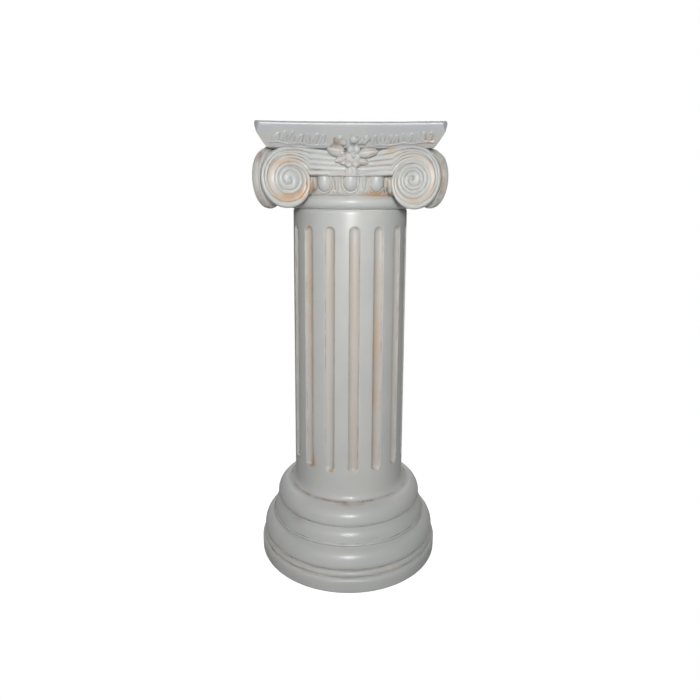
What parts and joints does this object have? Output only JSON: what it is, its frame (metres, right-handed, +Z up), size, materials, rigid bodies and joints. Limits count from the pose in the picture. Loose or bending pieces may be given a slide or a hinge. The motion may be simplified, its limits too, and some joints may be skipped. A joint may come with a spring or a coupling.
{
  "type": "ionic column pedestal",
  "caption": "Free-standing fluted column pedestal with an angular scrolled capital, egg moulding, flat square top and a round moulded base.",
  "frame": {"origin": "middle of the underside, on the surface that the pedestal stands on", "axes": "+Z up along the shaft, -Y towards the front, +X to the right seen from the front"},
  "size_m": [0.354, 0.354, 0.8],
  "materials": {
    "column_glaze": "glossy antique white with warm patina in the flutes and creases",
    "capital_glaze": "glossy antique white with brown patina in the hollows of the carving"
  },
  "bodies": {
    "root": {"column": "column_glaze", "capital": "capital_glaze"}
  },
  "joints": []
}
